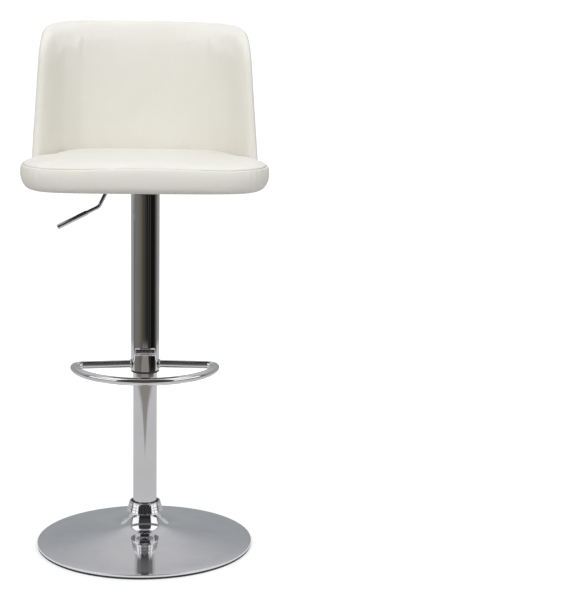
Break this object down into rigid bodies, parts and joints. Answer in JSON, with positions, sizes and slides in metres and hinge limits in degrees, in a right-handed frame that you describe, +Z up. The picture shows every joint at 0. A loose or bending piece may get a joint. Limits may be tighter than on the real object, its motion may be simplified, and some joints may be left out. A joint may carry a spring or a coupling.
{
  "type": "adjustable swivel stool",
  "caption": "Bar stool with a padded seat and wrap-around backrest on a gas-lift column, D-shaped footrest, height lever and round trumpet base.",
  "frame": {"origin": "on the floor, on the column's axis", "axes": "+Z up along the column; the sitter faces -Y, so the backrest is on the +Y side and the height lever on the sitter's right, -X"},
  "size_m": [0.4924, 0.45, 1.087],
  "materials": {
    "base_chrome": "polished chrome plate on spun steel",
    "column_chrome": "polished chrome plate",
    "footrest_chrome": "polished chrome plate",
    "collar_chrome": "polished chrome plate with a studded band",
    "lever_chrome": "polished chrome plate",
    "black_rubber": "matte black rubber",
    "cast_weight": "rough cast",
    "raw_steel": "turned steel",
    "bearing_steel": "ground and oiled steel",
    "zinc_fasteners": "zinc-plated steel",
    "black_nylon": "moulded black nylon",
    "black_cylinder": "black painted steel",
    "black_steel": "black powder coat",
    "ivory_leather": "soft ivory synthetic leather with a fine grain",
    "foam": "soft polyurethane foam",
    "plywood": "raw plywood",
    "black_cloth": "thin black non-woven cloth",
    "valve_red": "moulded red plastic"
  },
  "bodies": {
    "base": {"base_plate": "base_chrome", "floor_ring": "black_rubber", "ballast_plate": "cast_weight", "hub_socket": "raw_steel", "hub_bolts": "zinc_fasteners", "hub_nuts": "zinc_fasteners", "collar_ring": "collar_chrome", "collar_seal": "black_rubber", "stand_tube": "column_chrome", "stand_guide": "black_nylon", "tube_end_disc": "raw_steel", "bearing_lower_race": "bearing_steel", "bearing_balls": "bearing_steel"},
    "gas_rod": {"bearing_upper_race": "bearing_steel", "piston_rod": "bearing_steel", "piston": "raw_steel", "rod_clip": "zinc_fasteners"},
    "seat": {"gas_cylinder": "black_cylinder", "rod_guide": "black_nylon", "rod_seal": "black_rubber", "sleeve_tube": "column_chrome", "sleeve_screw": "zinc_fasteners", "sleeve_bushing": "black_nylon", "sleeve_top_ring": "black_nylon", "footrest": "footrest_chrome", "footrest_welds": "footrest_chrome", "mount_plate": "black_steel", "taper_socket": "black_steel", "plate_bolts": "zinc_fasteners", "plate_washers": "zinc_fasteners", "tee_nuts": "zinc_fasteners", "seat_foam": "foam", "seat_cover": "ivory_leather", "seat_board": "plywood", "dust_cover": "black_cloth", "back_angles": "black_steel", "back_screws": "zinc_fasteners", "back_rear_panel": "ivory_leather", "back_shell": "plywood", "back_foam": "foam", "back_front_cover": "ivory_leather"},
    "lever": {"lever_rod": "lever_chrome", "lever_grip": "lever_chrome"},
    "valve": {"valve_button": "valve_red"}
  },
  "joints": [
    {"name": "seat_swivel", "type": "hinge", "parent": "base", "child": "gas_rod", "pos_m": [0, 0, 0.024], "axis": [0, 0, 1], "continuous": true},
    {"name": "seat_height", "type": "slide", "parent": "gas_rod", "child": "seat", "axis": [0, 0, 1], "range_m": [-0.215, 0]},
    {"name": "lever_lift", "type": "hinge", "parent": "seat", "child": "lever", "pos_m": [-0.0245, 0, 0.752], "axis": [0, 1, 0], "range_deg": [0, 6], "stiffness_Nm_per_rad": 6, "springref_deg": -6.88},
    {"name": "valve_press", "type": "slide", "parent": "seat", "child": "valve", "axis": [0, 0, -1], "range_m": [0, 0.0032], "stiffness_N_per_m": 1500, "springref_m": -0.001}
  ],
  "couplings": [
    {"joint": "valve_press", "follows": "lever_lift", "m_per_rad": 0.0245}
  ]
}
